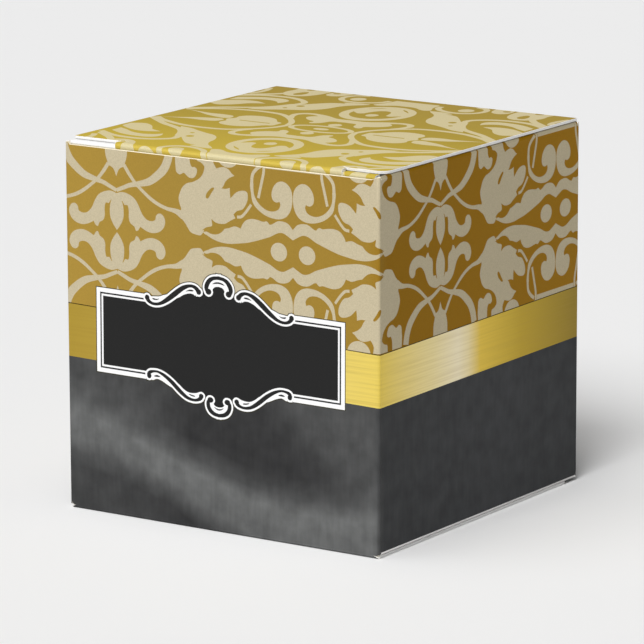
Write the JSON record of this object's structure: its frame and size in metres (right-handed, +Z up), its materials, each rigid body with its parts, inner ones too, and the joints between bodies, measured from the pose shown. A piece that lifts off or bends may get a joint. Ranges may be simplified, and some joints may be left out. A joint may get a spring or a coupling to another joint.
{
  "type": "cube gift box",
  "caption": "Folded paperboard cube favour box with a slit-locked tuck lid, a matching tuck bottom, inner dust flaps and a glued side seam.",
  "frame": {"origin": "centre of the underside, where the box stands", "axes": "+Z up, -Y out of the front wall, +X out of the right wall, +Y towards the lid's hinge"},
  "size_m": [0.0508, 0.0508, 0.0516],
  "materials": {
    "wall_print": "satin print on board: gold damask above a gold band, black below",
    "lid_print": "satin print on board: gold damask",
    "bottom_print": "satin print on board: black",
    "bare_board": "uncoated white board",
    "adhesive": "dried white glue"
  },
  "bodies": {
    "walls": {"front_wall": "wall_print", "right_wall": "wall_print", "back_wall": "wall_print", "left_wall": "wall_print", "glue_flap": "bare_board", "glue_line": "adhesive"},
    "lid": {"lid_panel": "lid_print"},
    "lid_tuck": {"lid_tuck_flap": "lid_print"},
    "top_left_dust": {"top_left_dust_flap": "bare_board"},
    "top_right_dust": {"top_right_dust_flap": "bare_board"},
    "bottom": {"bottom_panel": "bottom_print"},
    "bottom_tuck": {"bottom_tuck_flap": "bottom_print"},
    "bottom_left_dust": {"bottom_left_dust_flap": "bare_board"},
    "bottom_right_dust": {"bottom_right_dust_flap": "bare_board"}
  },
  "joints": [
    {"name": "lid_hinge", "type": "hinge", "parent": "walls", "child": "lid", "pos_m": [0, 0.0254, 0.0516], "axis": [-1, 0, 0], "range_deg": [0, 220]},
    {"name": "lid_tuck_hinge", "type": "hinge", "parent": "lid", "child": "lid_tuck", "pos_m": [0, -0.0245, 0.0512], "axis": [1, 0, 0], "range_deg": [0, 60]},
    {"name": "top_left_dust_hinge", "type": "hinge", "parent": "walls", "child": "top_left_dust", "pos_m": [-0.025, 0, 0.05075], "axis": [0, 1, 0], "range_deg": [0, 80]},
    {"name": "top_right_dust_hinge", "type": "hinge", "parent": "walls", "child": "top_right_dust", "pos_m": [0.025, 0, 0.05075], "axis": [0, -1, 0], "range_deg": [0, 80]},
    {"name": "bottom_hinge", "type": "hinge", "parent": "walls", "child": "bottom", "pos_m": [0, -0.0254, 0], "axis": [-1, 0, 0], "range_deg": [0, 220]},
    {"name": "bottom_tuck_hinge", "type": "hinge", "parent": "bottom", "child": "bottom_tuck", "pos_m": [0, 0.0245, 0.0004], "axis": [1, 0, 0], "range_deg": [0, 60]},
    {"name": "bottom_left_dust_hinge", "type": "hinge", "parent": "walls", "child": "bottom_left_dust", "pos_m": [-0.025, 0, 0.00085], "axis": [0, -1, 0], "range_deg": [0, 80]},
    {"name": "bottom_right_dust_hinge", "type": "hinge", "parent": "walls", "child": "bottom_right_dust", "pos_m": [0.025, 0, 0.00085], "axis": [0, 1, 0], "range_deg": [0, 80]}
  ]
}
